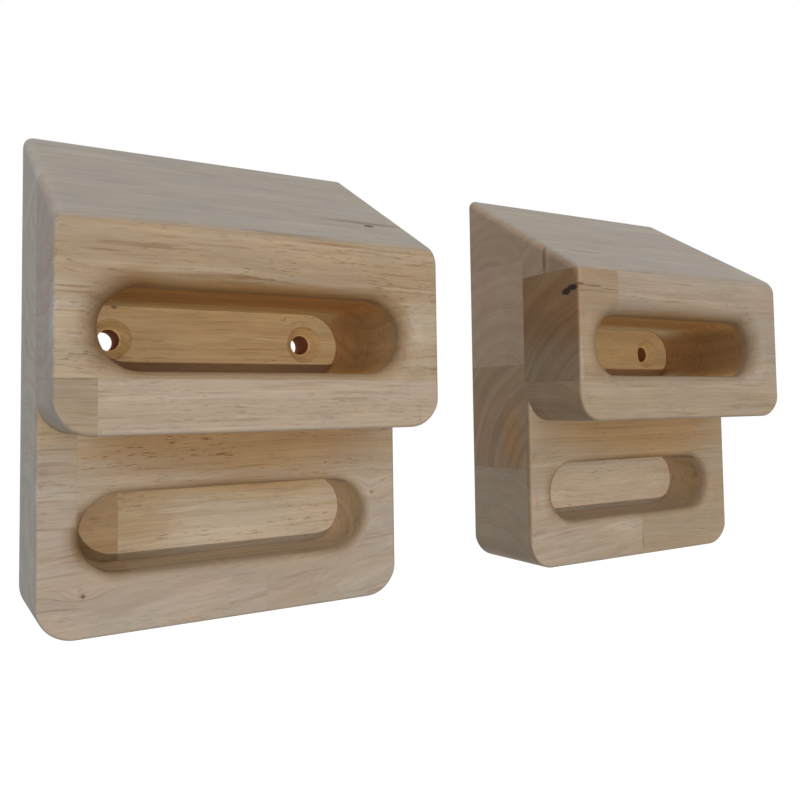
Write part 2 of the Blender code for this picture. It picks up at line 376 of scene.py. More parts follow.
class Nodes:
    """Adds nodes to one node tree. An input takes a number, a colour or another node's output."""

    def __init__(self, tree):
        self.tree = tree

    def add(self, kind, inputs=None, **settings):
        node = self.tree.nodes.new("ShaderNode" + kind)
        for name, value in settings.items():
            setattr(node, name, value)
        for name, value in (inputs or {}).items():
            self.feed(node.inputs[name], value)
        return node

    def feed(self, socket, value):
        if isinstance(value, bpy.types.NodeSocket):
            self.tree.links.new(value, socket)
        elif isinstance(value, tuple) and socket.type == "RGBA":
            socket.default_value = (*value, 1)
        else:
            socket.default_value = value

    def math(self, operation, *values):
        node = self.add("Math", dict(enumerate(values)), operation=operation)
        return node.outputs["Value"]

    def vector(self, operation, *values):
        node = self.add("VectorMath", dict(enumerate(values)), operation=operation)
        return node.outputs["Vector"]

    def length(self, value):
        node = self.add("VectorMath", {0: value}, operation="LENGTH")
        return node.outputs["Value"]

    def scaled(self, value, factor):
        node = self.add("VectorMath", {0: value, "Scale": factor}, operation="SCALE")
        return node.outputs["Vector"]

    def parts(self, value):
        """A vector's X, Y and Z outputs."""
        return self.add("SeparateXYZ", {"Vector": value}).outputs

    def joined(self, **parts):
        """A vector of the given X, Y and Z, each 0 where it isn't given."""
        return self.add("CombineXYZ", parts).outputs["Vector"]

    def noise(self, place, detail=2.0, roughness=0.5):
        inputs = {"Vector": place, "Scale": 1.0, "Detail": detail, "Roughness": roughness}
        return self.add("TexNoise", inputs)

    def noise_along(self, distance):
        inputs = {"W": distance, "Scale": 1.0, "Detail": 2.0}
        return self.add("TexNoise", inputs, noise_dimensions="1D").outputs["Fac"]

    def between(self, value, low, high):
        """0 below low, 1 above high, and a smooth step from one to the other."""
        inputs = {"Value": value, "From Min": low, "From Max": high}
        node = self.add("MapRange", inputs, interpolation_type="SMOOTHSTEP")
        return node.outputs["Result"]

    def mixed(self, share, first, second, way="MIX"):
        node = self.add("Mix", data_type="RGBA", blend_type=way)
        node.clamp_factor = True
        self.feed(node.inputs[MIX_SHARE], share)
        self.feed(node.inputs[MIX_FIRST], first)
        self.feed(node.inputs[MIX_SECOND], second)
        return node.outputs[MIX_RESULT]

    def use(self, group, inputs):
        """Places a node group and returns its outputs."""
        node = self.tree.nodes.new("ShaderNodeGroup")
        node.node_tree = group
        for name, value in inputs.items():
            self.feed(node.inputs[name], value)
        return node.outputs


def new_group(name, inputs, outputs):
    """A node group with its named sockets: its Nodes, its inputs as given, its outputs to feed."""
    tree = bpy.data.node_groups.new(name, "ShaderNodeTree")
    for label, (kind, value) in inputs.items():
        socket = tree.interface.new_socket(label, in_out="INPUT", socket_type="NodeSocket" + kind)
        socket.default_value = value
    for label, kind in outputs.items():
        tree.interface.new_socket(label, in_out="OUTPUT", socket_type="NodeSocket" + kind)
    given = tree.nodes.new("NodeGroupInput").outputs
    result = tree.nodes.new("NodeGroupOutput").inputs
    return Nodes(tree), given, result


# Camera, light and floor


def make_camera():
    data = bpy.data.cameras.new("camera")
    data.sensor_width = SENSOR_WIDTH_MM
    data.lens = FOCAL_LENGTH_PX / PICTURE_SIDE * SENSOR_WIDTH_MM
    data.shift_x = (PICTURE_SIDE / 2 - LENS_CENTRE_PX[0]) / PICTURE_SIDE
    data.shift_y = (LENS_CENTRE_PX[1] - PICTURE_SIDE / 2) / PICTURE_SIDE
    data.clip_start = NEAR_CLIP
    camera = bpy.data.objects.new("camera", data)
    bpy.context.scene.collection.objects.link(camera)
    turn = Matrix.Rotation(math.radians(-CAMERA_YAW), 4, "Z")
    tilt = Matrix.Rotation(math.radians(90 + CAMERA_PITCH), 4, "X")
    roll = Matrix.Rotation(math.radians(CAMERA_ROLL), 4, "Z")
    camera.matrix_world = Matrix.Translation(CAMERA_PLACE) @ turn @ tilt @ roll
    bpy.context.scene.camera = camera


def make_sun(name, strength, tint, spread, turn, tilt):
    """A distant light that shines along +Y, turned about the upright and tilted upwards."""
    data = bpy.data.lights.new(name, "SUN")
    data.energy = strength
    data.color = tint
    data.angle = spread
    light = bpy.data.objects.new(name, data)
    bpy.context.scene.collection.objects.link(light)
    turned = Matrix.Rotation(math.radians(turn), 4, "Z")
    tilted = Matrix.Rotation(math.radians(90 + tilt), 4, "X")
    light.matrix_world = turned @ tilted


def make_lights():
    """The light in front, a little to the left and below, and a soft one behind for the back."""
    make_sun(
        "front_light",
        FRONT_LIGHT_STRENGTH,
        FRONT_LIGHT_TINT,
        FRONT_LIGHT_SPREAD,
        -FRONT_LIGHT_FROM_LEFT,
        FRONT_LIGHT_FROM_BELOW,
    )
    make_sun(
        "fill_light",
        FILL_LIGHT_STRENGTH,
        FRONT_LIGHT_TINT,
        FILL_LIGHT_SPREAD,
        -FRONT_LIGHT_FROM_LEFT,
        -FILL_LIGHT_FROM_ABOVE,
    )
    make_sun(
        "back_light",
        BACK_LIGHT_STRENGTH,
        WHITE,
        BACK_LIGHT_SPREAD,
        180 - BACK_LIGHT_FROM_RIGHT,
        0,
    )


def seen_directly(nodes):
    """1 for rays that show the backdrop: from the camera, in a gloss or through something clear."""
    path = nodes.add("LightPath").outputs
    plain = nodes.math("MAXIMUM", path["Is Camera Ray"], path["Is Glossy Ray"])
    return nodes.math("MAXIMUM", plain, path["Is Transmission Ray"])


def make_sky():
    """Soft room light from above and to the left, in front of a plain white backdrop."""
    world = bpy.data.worlds.new("room")
    bpy.context.scene.world = world
    world.use_nodes = True
    world.node_tree.nodes.clear()
    nodes = Nodes(world.node_tree)
    direction = nodes.add("TexCoord").outputs["Generated"]
    facing = nodes.add("VectorMath", {0: direction, 1: ROOM_LIGHT_FROM}, operation="DOT_PRODUCT")
    swing = nodes.math("MULTIPLY", facing.outputs["Value"], ROOM_LIGHT_SWING)
    level = nodes.math("ADD", swing, ROOM_LIGHT_LEVEL)
    level = nodes.math("MAXIMUM", level, ROOM_LIGHT_LEAST)
    light = nodes.add("Background", {"Color": ROOM_LIGHT_TINT, "Strength": level})
    backdrop = nodes.add("Background", {"Color": WHITE})
    choice = {0: seen_directly(nodes), 1: light.outputs[0], 2: backdrop.outputs[0]}
    mix = nodes.add("MixShader", choice)
    nodes.add("OutputWorld", {"Surface": mix.outputs[0]})


def make_floor():
    """A pale floor well below the blocks. It shows white where the object's shadow isn't."""
    mesh = bpy.data.meshes.new("floor")
    near, far, half = -FLOOR_IN_FRONT, FLOOR_BEHIND, FLOOR_HALF_WIDTH
    corners = [(-half, near), (half, near), (half, far), (-half, far)]
    mesh.from_pydata([(x, y, FLOOR_HEIGHT) for x, y in corners], [], [(0, 1, 2, 3)])
    floor = bpy.data.objects.new("floor", mesh)
    bpy.context.scene.collection.objects.link(floor)
    material = bpy.data.materials.new("pale_floor")
    material.use_nodes = True
    material.node_tree.nodes.clear()
    nodes = Nodes(material.node_tree)
    matt = nodes.add("BsdfDiffuse", {"Color": FLOOR_TONE})
    glow = nodes.add("Emission", {"Color": FLOOR_GLOW, "Strength": seen_directly(nodes)})
    both = nodes.add("AddShader", {0: matt.outputs[0], 1: glow.outputs[0]})
    nodes.add("OutputMaterial", {"Surface": both.outputs[0]})
    mesh.materials.append(material)


# Wood as node groups. Places are in millimetres, the grain runs along X

POINT = ("Vector", (0, 0, 0))
NUMBER = ("Float", 0)

# How far one seed lies from the next in each noise
DRIFT_SEED_STEP = (17.3, 41.9, 29.7)
GRAIN_SEED_STEP = (53.1, 11.7, 71.3)
RING_SEED_STEP = 97.0

# The grain's drift: a slow noise and a quick one, in cycles per millimetre
SLOW_DRIFT = (0.012, 0.035, 0.035)
QUICK_DRIFT = (0.04, 0.1, 0.1)
QUICK_DRIFT_SHARE = 0.3
DRIFT_MEAN = (0.65, 0.65, 0.65)

# Growth rings: fine lines to a band, and rays round the pith
LINES_PER_BAND = 6.0
RAYS_PER_RADIAN = 38.0
RAY_BREAKS_PER_RING = 0.6

# Where each mask turns from nothing to full
BAND_RANGE = (0.32, 0.68)
RING_LINE_RANGE = (0.3, 0.7)
RAY_RANGE = (0.55, 0.72)
STREAK_RANGE = (0.4, 0.68)
GRAIN_LINE_RANGE = (0.56, 0.68)
LINE_PLACE_RANGE = (0.4, 0.58)
PORE_RANGE = (0.58, 0.68)
PORE_PLACE_RANGE = (0.36, 0.62)
WARMTH_RANGE = (0.3, 0.7)
CUT_END_RANGE = (0.3, 0.9)

# Noises of the long grain: cycles per millimetre along and across, detail and roughness
FIBRES = (0.07, 1.6, 5.0, 0.68)
CLOUDS = (0.03, 0.09, 3.0, 0.6)
STREAKS = (0.016, 0.3, 4.0, 0.6)
GRAIN_LINES = (0.026, 0.75, 2.0, 0.5)
GRAIN_LINE_PLACES = (0.02, 0.07, 1.0, 0.5)
PORES = (0.21, 1.75, 2.0, 0.5)
PORE_PLACES = (0.03, 0.1, 1.0, 0.5)


def make_drift_group():
    """Where a point's wood comes from: the grain leans, wanders and bends round knots."""
    nodes, given, result = new_group(
        "grain_drift",
        {
            "Place": POINT,
            "Seed": NUMBER,
            "Wander": ("Float", 2),
            "Lean": NUMBER,
            "Swirl": NUMBER,
        },
        {"Place": "Vector"},
    )
    shifted = nodes.vector("ADD", given["Place"], nodes.scaled(DRIFT_SEED_STEP, given["Seed"]))
    slow = nodes.noise(nodes.vector("MULTIPLY", shifted, SLOW_DRIFT), 1.0).outputs["Color"]
    quick = nodes.noise(nodes.vector("MULTIPLY", shifted, QUICK_DRIFT), 1.0).outputs["Color"]
    drift = nodes.vector("ADD", slow, nodes.scaled(quick, QUICK_DRIFT_SHARE))
    drift = nodes.vector("SUBTRACT", drift, DRIFT_MEAN)
    drifted = nodes.vector("ADD", given["Place"], nodes.scaled(drift, given["Wander"]))
    along = nodes.parts(drifted)["X"]
    rise = nodes.math("SUBTRACT", given["Swirl"], nodes.math("MULTIPLY", along, given["Lean"]))
    nodes.feed(result["Place"], nodes.vector("ADD", drifted, nodes.joined(Z=rise)))
    return nodes.tree


def make_growth_group():
    """Growth rings round a pith that runs along the stave: broad bands, fine lines and rays."""
    nodes, given, result = new_group(
        "growth_rings",
        {
            "Place": POINT,
            "Seed": NUMBER,
            "Pith": POINT,
            "Ring Width": ("Float", 5),
        },
        dict.fromkeys(("Bands", "Lines", "Rays"), "Float"),
    )
    off = nodes.parts(nodes.vector("SUBTRACT", given["Place"], given["Pith"]))
    radius = nodes.length(nodes.joined(Y=off["Y"], Z=off["Z"]))
    distance = nodes.math("ADD", radius, nodes.math("MULTIPLY", given["Seed"], RING_SEED_STEP))
    rings = nodes.math("DIVIDE", distance, given["Ring Width"])
    bands = nodes.noise_along(rings)
    lines = nodes.noise_along(nodes.math("MULTIPLY", rings, LINES_PER_BAND))
    turn = nodes.math("MULTIPLY", nodes.math("ARCTAN2", off["Z"], off["Y"]), RAYS_PER_RADIAN)
    outwards = nodes.math("MULTIPLY", rings, RAY_BREAKS_PER_RING)
    rays = nodes.noise(nodes.joined(X=turn, Y=outwards), 2.0, 0.6).outputs["Fac"]
    nodes.feed(result["Bands"], nodes.between(bands, *BAND_RANGE))
    nodes.feed(result["Lines"], nodes.between(lines, *RING_LINE_RANGE))
    nodes.feed(result["Rays"], nodes.between(rays, *RAY_RANGE))
    return nodes.tree


def make_grain_group():
    """What shows along the grain: fibres, clouds, long streaks, dark grain lines and open pores."""
    nodes, given, result = new_group(
        "long_grain",
        {"Place": POINT, "Seed": NUMBER},
        dict.fromkeys(("Fibres", "Clouds", "Streaks", "Grain Lines", "Pores"), "Float"),
    )
    shifted = nodes.vector("ADD", given["Place"], nodes.scaled(GRAIN_SEED_STEP, given["Seed"]))

    def stretched(along, across, detail, roughness):
        place = nodes.vector("MULTIPLY", shifted, (along, across, across))
        return nodes.noise(place, detail, roughness).outputs["Fac"]

    nodes.feed(result["Fibres"], stretched(*FIBRES))
    nodes.feed(result["Clouds"], stretched(*CLOUDS))
    nodes.feed(result["Streaks"], nodes.between(stretched(*STREAKS), *STREAK_RANGE))
    lines = nodes.between(stretched(*GRAIN_LINES), *GRAIN_LINE_RANGE)
    line_places = nodes.between(stretched(*GRAIN_LINE_PLACES), *LINE_PLACE_RANGE)
    nodes.feed(result["Grain Lines"], nodes.math("MULTIPLY", lines, line_places))
    pores = nodes.between(stretched(*PORES), *PORE_RANGE)
    pore_places = nodes.between(stretched(*PORE_PLACES), *PORE_PLACE_RANGE)
    nodes.feed(result["Pores"], nodes.math("MULTIPLY", pores, pore_places))
    return nodes.tree


def make_cut_end_group():
    """Where the stave is cut across the grain, as on the blocks' sides and the pockets' ends."""
    nodes, _, result = new_group("cut_ends", {}, {"Mask": "Float"})
    normal = nodes.parts(nodes.add("NewGeometry").outputs["Normal"])
    along = nodes.math("ABSOLUTE", normal["X"])
    nodes.feed(result["Mask"], nodes.between(along, *CUT_END_RANGE))
    return nodes.tree


# Where looks fade out round the hollows, in millimetres: off a pocket's outline, off where its
# lip starts, off its back, off the wood's own back, and off a countersink's mouth and rim
END_FIGURE_FADE = (11, 14)
WALL_FADE = (0.4, 1.6)
LIP_FADE = (0.2, 4.5)
HOLLOW_FADE = (-1, 0)
BEFORE_LIP_FADE = (-5, 1)
BACK_FADE = (0, 2)
DEPTH_FADE = (2, 30)
WALL_SIDE_FADE = (0.1, 0.8)
SINK_FADE = (-0.5, -0.05)
RIM_FADE = (0.3, 1.0)
HOLE_FADE = (-0.7, -0.1)


def make_router_group():
    """The hollows cut into a block: a pocket's walls, the countersinks and the screw holes."""
    nodes, given, result = new_group(
        "router_cuts",
        {
            "Place": POINT,
            "Pocket Middle": ("Vector", (75, 0, 112.65)),
            "Lip Start": ("Float", 78.5),
        },
        dict.fromkeys(("Around", "Walls", "Lips", "Depth", "Sinks", "Rims", "Holes"), "Float"),
    )
    radius = POCKET_HEIGHT / 2 / MM
    half_straight = POCKET_LENGTH / 2 / MM - radius
    back = WOOD_BEHIND_POCKETS / MM
    rim = back - SINK_DEPTH / MM
    off = nodes.parts(nodes.vector("SUBTRACT", given["Place"], given["Pocket Middle"]))
    past_straight = nodes.math("SUBTRACT", nodes.math("ABSOLUTE", off["X"]), half_straight)
    past_straight = nodes.math("MAXIMUM", past_straight, 0)
    away = nodes.length(nodes.joined(X=past_straight, Z=off["Z"]))
    from_wall = nodes.math("MULTIPLY", off["Y"], -1)

    def beyond(value, start, fade):
        return nodes.between(nodes.math("SUBTRACT", value, start), *fade)

    def up_to(value, start, fade):
        return nodes.math("SUBTRACT", 1, beyond(value, start, fade))

    def both(first, second):
        return nodes.math("MULTIPLY", first, second)

    before_lip = up_to(from_wall, given["Lip Start"], BEFORE_LIP_FADE)
    off_back = beyond(from_wall, back, BACK_FADE)
    nodes.feed(result["Around"], up_to(away, radius, END_FIGURE_FADE))
    nodes.feed(result["Walls"], both(both(up_to(away, radius, WALL_FADE), before_lip), off_back))
    nodes.feed(result["Lips"], both(up_to(away, radius, LIP_FADE), off_back))
    nodes.feed(result["Depth"], up_to(from_wall, back, DEPTH_FADE))
    behind = both(up_to(away, radius, HOLLOW_FADE), beyond(from_wall, 0, WALL_SIDE_FADE))
    nodes.feed(result["Sinks"], both(behind, up_to(from_wall, back, SINK_FADE)))
    off_rim = nodes.math("ABSOLUTE", nodes.math("SUBTRACT", from_wall, rim))
    nodes.feed(result["Rims"], both(behind, up_to(off_rim, 0, RIM_FADE)))
    nodes.feed(result["Holes"], both(behind, up_to(from_wall, rim, HOLE_FADE)))
    return nodes.tree


# The noise of a spot's ragged edge, in cycles to its half size
EDGE_NOISE = (1.3, 1.3, 1.3)


def make_spot_group():
    """A mark of its own size round a centre, with a soft and ragged edge."""
    nodes, given, result = new_group(
        "spot",
        {
            "Place": POINT,
            "Centre": POINT,
            "Half Size": ("Vector", (1, 1, 1)),
            "Softness": ("Float", 0.5),
            "Raggedness": ("Float", 0.3),
        },
        {"Mask": "Float"},
    )
    off = nodes.vector("SUBTRACT", given["Place"], given["Centre"])
    share = nodes.vector("DIVIDE", off, given["Half Size"])
    rough = nodes.noise(nodes.vector("MULTIPLY", share, EDGE_NOISE), 3.0, 0.6).outputs["Fac"]
    rough = nodes.math("SUBTRACT", rough, 0.5)
    rough = nodes.math("MULTIPLY", rough, given["Raggedness"])
    reach = nodes.math("ADD", nodes.length(share), rough)
    start = nodes.math("SUBTRACT", 1, given["Softness"])
    nodes.feed(result["Mask"], nodes.math("SUBTRACT", 1, nodes.between(reach, start, 1.0)))
    return nodes.tree


def make_knot_group():
    """A knot or swirl: how far it pushes the grain aside."""
    nodes, given, result = new_group(
        "knot_swirl",
        {
            "Place": POINT,
            "Centre": POINT,
            "Reach": ("Vector", (10, 10, 5)),
            "Push": ("Float", 5),
        },
        {"Swirl": "Float"},
    )
    off = nodes.vector("SUBTRACT", given["Place"], given["Centre"])
    share = nodes.length(nodes.vector("DIVIDE", off, given["Reach"]))
    squared = nodes.math("MULTIPLY", share, share)
    fall = nodes.math("EXPONENT", nodes.math("MULTIPLY", squared, -1))
    nodes.feed(result["Swirl"], nodes.math("MULTIPLY", fall, given["Push"]))
    return nodes.tree


STAVE_TONES = ("Tone", "Late Tone", "End Tone", "End Late Tone")
POCKET_WALL_TONES_AND_PAINTED_LIGHT = ("Pocket Tone And Painted Light", "Pocket Back Tone And Painted Light", "Pocket End Tone And Painted Light", "Pocket End Back Tone And Painted Light")

# The figure of a stave where nothing else is said
USUAL_FIGURE = {
    "Lean": 0.0,
    "Ring Width": 6.0,
    "Wander": 5.0,
    "Bands": 0.4,
    "Ring Lines": 0.08,
    "Clouds": 0.25,
    "Streaks": 0.45,
    "Grain Lines": 0.5,
    "Pores": 0.5,
    "End Bands": 0.4,
}

# How the tone changes in places, as factors of red, green and blue. The factors for the lips,
# countersinks and rims are painted light and shade, and the screw holes' tone is partly
# painted shade.
ROUTED_LATE = (0.7, 0.6, 0.5)
# Painted shade on the pockets' lips, where they round into the hollows
LIP_PAINTED_SHADE = (1.0, 0.93, 0.83)
# Painted light in the countersinks, lifting the shade on their cones
SINK_PAINTED_LIGHT = (1.22, 1.20, 1.14)
# A painted highlight on the rim where a countersink meets its screw hole
RIM_PAINTED_HIGHLIGHT = (1.4, 1.4, 1.4)
GRAIN_LINE_SHADE = (0.70, 0.60, 0.50)
PORE_SHADE = (0.60, 0.48, 0.38)
COOL_CLOUD = (0.985, 1.0, 1.025)
WARM_CLOUD = (1.015, 1.0, 0.975)
# Inside the screw holes: partly the drilled end grain's dark tone, partly painted shade in the
# bores
HOLE_TONE_AND_PAINTED_SHADE = (0.36, 0.13, 0.04)

# How strongly fibres and rays swing the tone, with fibres fainter on cut ends
FIBRE_SWING = 0.42
FIBRE_SWING_LOST_ON_ENDS = 0.2
RAY_SWING = -0.25

# Roughness: the planed wood's own, and what fibres, cut ends and screw holes add
WOOD_ROUGHNESS = 0.5
FIBRE_ROUGHNESS = 0.22
END_ROUGHNESS = 0.1
HOLE_ROUGHNESS = 0.4

# Surface height beside the fibres' own
RING_LINE_HEIGHT = 0.15
PORE_HEIGHT = -0.6


def make_rubberwood_group():
    """Planed rubberwood: its colour, roughness and surface height. Its colour holds painted light
    and shade in the pockets, on their lips, in the countersinks and in the screw holes.
    """
    nodes, given, result = new_group(
        "rubberwood",
        {
            "Place": POINT,
            "Seed": NUMBER,
            **dict.fromkeys(STAVE_TONES + POCKET_WALL_TONES_AND_PAINTED_LIGHT, ("Color", (0.4, 0.3, 0.2, 1))),
            "Pocket Middle": ("Vector", (75, 0, 112.65)),
            "Lip Start": ("Float", 78.5),
            "Pith": POINT,
            "Swirl": NUMBER,
            **{name: ("Float", strength) for name, strength in USUAL_FIGURE.items()},
        },
        {"Color": "Color", "Roughness": "Float", "Height": "Float"},
    )
    bend = {name: given[name] for name in ("Place", "Seed", "Wander", "Lean", "Swirl")}
    place = nodes.use(make_drift_group(), bend)["Place"]
    shared = {"Place": place, "Seed": given["Seed"]}
    growth = {name: given[name] for name in ("Pith", "Ring Width")}
    rings = nodes.use(make_growth_group(), {**shared, **growth})
    grain = nodes.use(make_grain_group(), shared)
    end = nodes.use(make_cut_end_group(), {})["Mask"]
    hollow = {name: given[name] for name in ("Place", "Pocket Middle", "Lip Start")}
    cuts = nodes.use(make_router_group(), hollow)

    def share(mask, strength):
        return nodes.math("MULTIPLY", mask, strength)

    def swing(value, strength):
        return share(nodes.math("SUBTRACT", value, 0.5), strength)

    bands = share(rings["Bands"], given["Bands"])
    streaks = share(grain["Streaks"], given["Streaks"])
    end_bands = share(rings["Bands"], given["End Bands"])
    along = nodes.mixed(bands, given["Tone"], given["Late Tone"])
    along = nodes.mixed(streaks, along, given["Late Tone"])
    across = nodes.mixed(end_bands, given["End Tone"], given["End Late Tone"])
    outer_end = share(end, nodes.math("SUBTRACT", 1, cuts["Around"]))
    colour = nodes.mixed(outer_end, along, across)
    # The pockets' walls take tones that are partly painted light: warmer inside, paler towards the
    # back
    routed = nodes.mixed(cuts["Depth"], given["Pocket Tone And Painted Light"], given["Pocket Back Tone And Painted Light"])
    routed_end = nodes.mixed(cuts["Depth"], given["Pocket End Tone And Painted Light"], given["Pocket End Back Tone And Painted Light"])
    routed = nodes.mixed(end, routed, routed_end)
    routed_share = nodes.mixed(end, streaks, end_bands)
    routed = nodes.mixed(routed_share, routed, nodes.vector("MULTIPLY", routed, ROUTED_LATE))
    # Painted light and shade: countersinks lightened, lips shaded, rims given a highlight and the
    # screw holes darkened partly for shade
    sink_painted_light = nodes.vector("MULTIPLY", colour, SINK_PAINTED_LIGHT)
    colour = nodes.mixed(cuts["Lips"], colour, nodes.vector("MULTIPLY", colour, LIP_PAINTED_SHADE))
    colour = nodes.mixed(cuts["Walls"], colour, routed)
    colour = nodes.mixed(cuts["Sinks"], colour, sink_painted_light)
    colour = nodes.mixed(cuts["Holes"], colour, HOLE_TONE_AND_PAINTED_SHADE)
    colour = nodes.mixed(cuts["Rims"], colour, nodes.vector("MULTIPLY", sink_painted_light, RIM_PAINTED_HIGHLIGHT))

    fibre_swing = nodes.math("SUBTRACT", FIBRE_SWING, share(end, FIBRE_SWING_LOST_ON_ENDS))
    light = swing(rings["Lines"], given["Ring Lines"])
    light = nodes.math("ADD", light, swing(grain["Fibres"], fibre_swing))
    rayed = share(rings["Rays"], share(end, cuts["Walls"]))
    light = nodes.math("ADD", light, share(rayed, RAY_SWING))
    light = nodes.math("ADD", light, swing(grain["Clouds"], given["Clouds"]))
    colour = nodes.scaled(colour, nodes.math("ADD", light, 1))
    warmth = nodes.between(grain["Clouds"], *WARMTH_RANGE)
    colour = nodes.vector("MULTIPLY", colour, nodes.mixed(warmth, COOL_CLOUD, WARM_CLOUD))
    long_side = nodes.math("SUBTRACT", 1, end)
    dark_lines = share(share(grain["Grain Lines"], given["Grain Lines"]), long_side)
    colour = nodes.mixed(dark_lines, colour, nodes.vector("MULTIPLY", colour, GRAIN_LINE_SHADE))
    pores = share(grain["Pores"], given["Pores"])
    colour = nodes.mixed(pores, colour, nodes.vector("MULTIPLY", colour, PORE_SHADE))
    nodes.feed(result["Color"], colour)

    rough = nodes.math("ADD", share(grain["Fibres"], FIBRE_ROUGHNESS), share(end, END_ROUGHNESS))
    rough = nodes.math("ADD", rough, share(cuts["Holes"], HOLE_ROUGHNESS))
    nodes.feed(result["Roughness"], nodes.math("ADD", rough, WOOD_ROUGHNESS))
    height = nodes.math("ADD", grain["Fibres"], share(rings["Lines"], RING_LINE_HEIGHT))
    nodes.feed(result["Height"], nodes.math("ADD", height, share(grain["Pores"], PORE_HEIGHT)))
    return nodes.tree


# The staves' woods

WOOD_GLOSS = 0.3
BUMP_STRENGTH = 0.5
BUMP_DEPTH = 0.12 * MM

# Tones of rubberwood, as linear red, green and blue
PALE = (0.44, 0.350, 0.262)
CREAM = (0.47, 0.378, 0.280)
TAN = (0.40, 0.305, 0.205)
GOLD = (0.44, 0.315, 0.180)
GREYED = (0.342, 0.293, 0.240)
END_PALE_GREY = (0.372, 0.334, 0.285)
END_MAUVE = (0.328, 0.276, 0.228)
END_TAN = (0.369, 0.263, 0.174)
END_BROWN = (0.27, 0.150, 0.070)
DARK_BROWN = (0.13, 0.070, 0.035)
BLACK_BROWN = (0.018, 0.007, 0.003)
RED_BROWN = (0.20, 0.095, 0.050)
ORANGE = (0.42, 0.200, 0.080)

# How the late wood of a growth ring differs, along the stave and on its cut ends
LATE = (0.80, 0.72, 0.62)
END_LATE = (0.74, 0.66, 0.58)

# The tones of the pockets' routed walls by the mouth and at the back, first along the grain and
# then across it at the ends. They are partly painted light: warmer inside the hollows for painted
# bounce light, paler towards the back for painted light bounced off the lit back wall, and set
# for each block and tier by how light falls in its pockets.
POCKET_TONES_AND_PAINTED_LIGHT = {
    ("left", "upper"): (
        (0.640, 0.356, 0.121),
        (0.861, 0.749, 0.432),
        (0.500, 0.320, 0.152),
        (0.618, 0.370, 0.186),
    ),
    ("left", "lower"): (
        (0.575, 0.435, 0.278),
        (0.660, 0.515, 0.355),
        (0.540, 0.395, 0.230),
        (0.670, 0.505, 0.330),
    ),
    ("right", "upper"): (
        (0.710, 0.450, 0.190),
        (0.930, 0.900, 0.680),
        (0.385, 0.232, 0.103),
        (0.477, 0.274, 0.129),
    ),
    ("right", "lower"): (
        (0.490, 0.370, 0.240),
        (0.570, 0.440, 0.310),
        (0.440, 0.305, 0.160),
        (0.540, 0.390, 0.230),
    ),
}


def shade(tone, by):
    """A tone times one factor, or times a factor each for red, green and blue."""
    factors = by if isinstance(by, tuple) else (by, by, by)
    return tuple(part * factor for part, factor in zip(tone, factors))


class Wood:
    """A stave's wood: its tones along the grain and on its cut ends, where its growth rings
    centre, its knots, its marks, some of which are painted light and shade, and how strong its
    figure is."""

    def __init__(self, tone, end, pith, knots=(), marks=(), porous_place=None, **figure):
        self.knots = knots
        self.marks = marks
        self.porous_place = porous_place
        tones = (tone, shade(tone, LATE), end, shade(end, END_LATE))
        self.inputs = {**dict(zip(STAVE_TONES, tones)), "Pith": pith, **USUAL_FIGURE}
        for name, strength in figure.items():
            self.inputs[name.replace("_", " ").title()] = strength


def knot(centre, reach, push):
    """Where the grain bends round a knot, how far around it and by how much."""
    return {"Centre": centre, "Reach": reach, "Push": push}


def region(centre, half_size, softness, raggedness):
    """A place in the wood: its middle, its half size and how soft and ragged its edge is."""
    names = ("Centre", "Half Size", "Softness", "Raggedness")
    return dict(zip(names, (centre, half_size, softness, raggedness)))


def spot(tone, strength, centre, half_size, softness=0.6, raggedness=0.5):
    """A mark of its own tone: a mark in the wood, and in one place a patch of painted shade."""
    return "MIX", tone, strength, region(centre, half_size, softness, raggedness)


def stain_and_painted_light(tone, strength, centre, half_size, softness=0.8, raggedness=0.8):
    """A place where the wood's own tone is multiplied, so that its figure stays. It serves both for
    stains in the wood and for painted light and shade.
    """
    return "MULTIPLY", tone, strength, region(centre, half_size, softness, raggedness)


# Painted shade on the lips of the pockets: darker at their left ends and along their tops,
# where the lips get less light
UPPER_LEFT_LIP_PAINTED_SHADE = stain_and_painted_light((0.72, 0.62, 0.52), 1.0, (15.0, -82, 112.65), (13, 14, 23), 0.8, 0.2)
UPPER_TOP_LIP_PAINTED_SHADE = stain_and_painted_light((0.92, 0.76, 0.54), 1.0, (75, -81, 128.5), (66, 9, 6), 0.8, 0.2)
LOWER_LEFT_LIP_PAINTED_SHADE = stain_and_painted_light((0.66, 0.54, 0.42), 1.0, (15.0, -47, 37.75), (8.5, 6, 19), 0.8, 0.2)
LOWER_TOP_LIP_PAINTED_SHADE = stain_and_painted_light((0.72, 0.62, 0.50), 1.0, (72, -46, 53.8), (64, 6, 3.6), 0.8, 0.2)

# The pale corner of the left block's lower tier, on both sides of a butt joint
LOWER_CORNER = stain_and_painted_light((1.18, 1.30, 1.46), 1.0, (8, -49, 73), (26, 7, 15), 0.9, 0.5)

# The faint figure of the greyed staves, fainter still on the left block
FAINT = {"bands": 0.2, "ring_lines": 0.04, "pores": 0.15}
FAINTEST = {**FAINT, "ring_width": 9, "streaks": 0.3, "clouds": 0.3}

